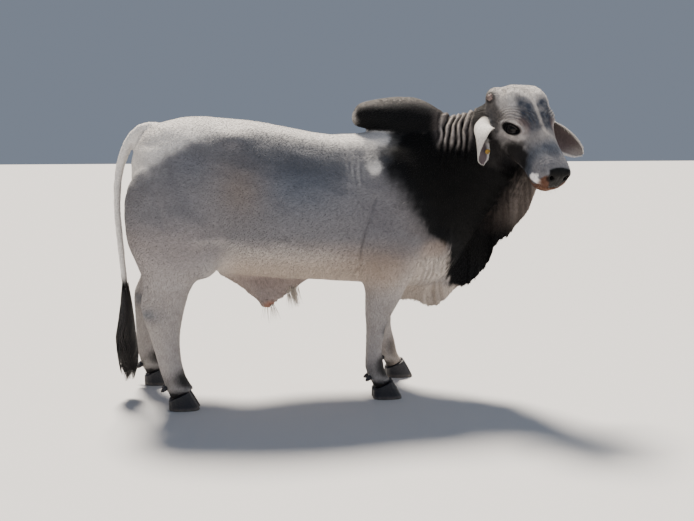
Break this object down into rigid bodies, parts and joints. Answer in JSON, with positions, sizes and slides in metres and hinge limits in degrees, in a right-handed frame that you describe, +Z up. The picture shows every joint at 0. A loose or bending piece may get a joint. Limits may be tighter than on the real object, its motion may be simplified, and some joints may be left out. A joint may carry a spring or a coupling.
{
  "type": "brahman cattle",
  "caption": "Life-size still model of a standing grey Brahman bull with humped shoulders, hanging dewlap, drooping ears and a turned head.",
  "frame": {"origin": "middle of the bull's bounding box on the floor that the hooves stand on", "axes": "+X towards the chest along the body, +Y towards the bull's left, +Z up"},
  "size_m": [2.4496, 0.9524, 1.6376],
  "materials": {
    "pale_hide": "short pale grey hair over soft hide",
    "dark_hide": "short charcoal hair over loose hide",
    "bare_skin": "thinly haired pinkish tan skin",
    "hoof_horn": "dull black horn",
    "bud_horn": "rough pinkish grey horn scar",
    "eye": "wet glossy near black",
    "tail_hair": "long coarse black hair",
    "tag_plastic": "plain yellow moulded plastic"
  },
  "bodies": {
    "root": {"torso": "pale_hide", "foreleg_right": "pale_hide", "foreleg_left": "pale_hide", "hindleg_right": "pale_hide", "hindleg_left": "pale_hide", "tail_upper": "pale_hide", "tail_lower": "pale_hide", "ear_right": "pale_hide", "ear_left": "pale_hide", "head": "pale_hide", "neck": "dark_hide", "hump": "dark_hide", "dewlap": "dark_hide", "sheath": "bare_skin", "scrotum": "bare_skin", "hoof_fore_right_outer": "hoof_horn", "hoof_fore_right_inner": "hoof_horn", "hoof_fore_left_outer": "hoof_horn", "hoof_fore_left_inner": "hoof_horn", "hoof_hind_right_outer": "hoof_horn", "hoof_hind_right_inner": "hoof_horn", "hoof_hind_left_outer": "hoof_horn", "hoof_hind_left_inner": "hoof_horn", "dewclaw_fore_right_outer": "hoof_horn", "dewclaw_fore_right_inner": "hoof_horn", "dewclaw_fore_left_outer": "hoof_horn", "dewclaw_fore_left_inner": "hoof_horn", "dewclaw_hind_right_outer": "hoof_horn", "dewclaw_hind_right_inner": "hoof_horn", "dewclaw_hind_left_outer": "hoof_horn", "dewclaw_hind_left_inner": "hoof_horn", "horn_bud_right": "bud_horn", "horn_bud_left": "bud_horn", "eye_right": "eye", "eye_left": "eye", "tail_switch": "tail_hair", "ear_tag": "tag_plastic"}
  },
  "joints": []
}
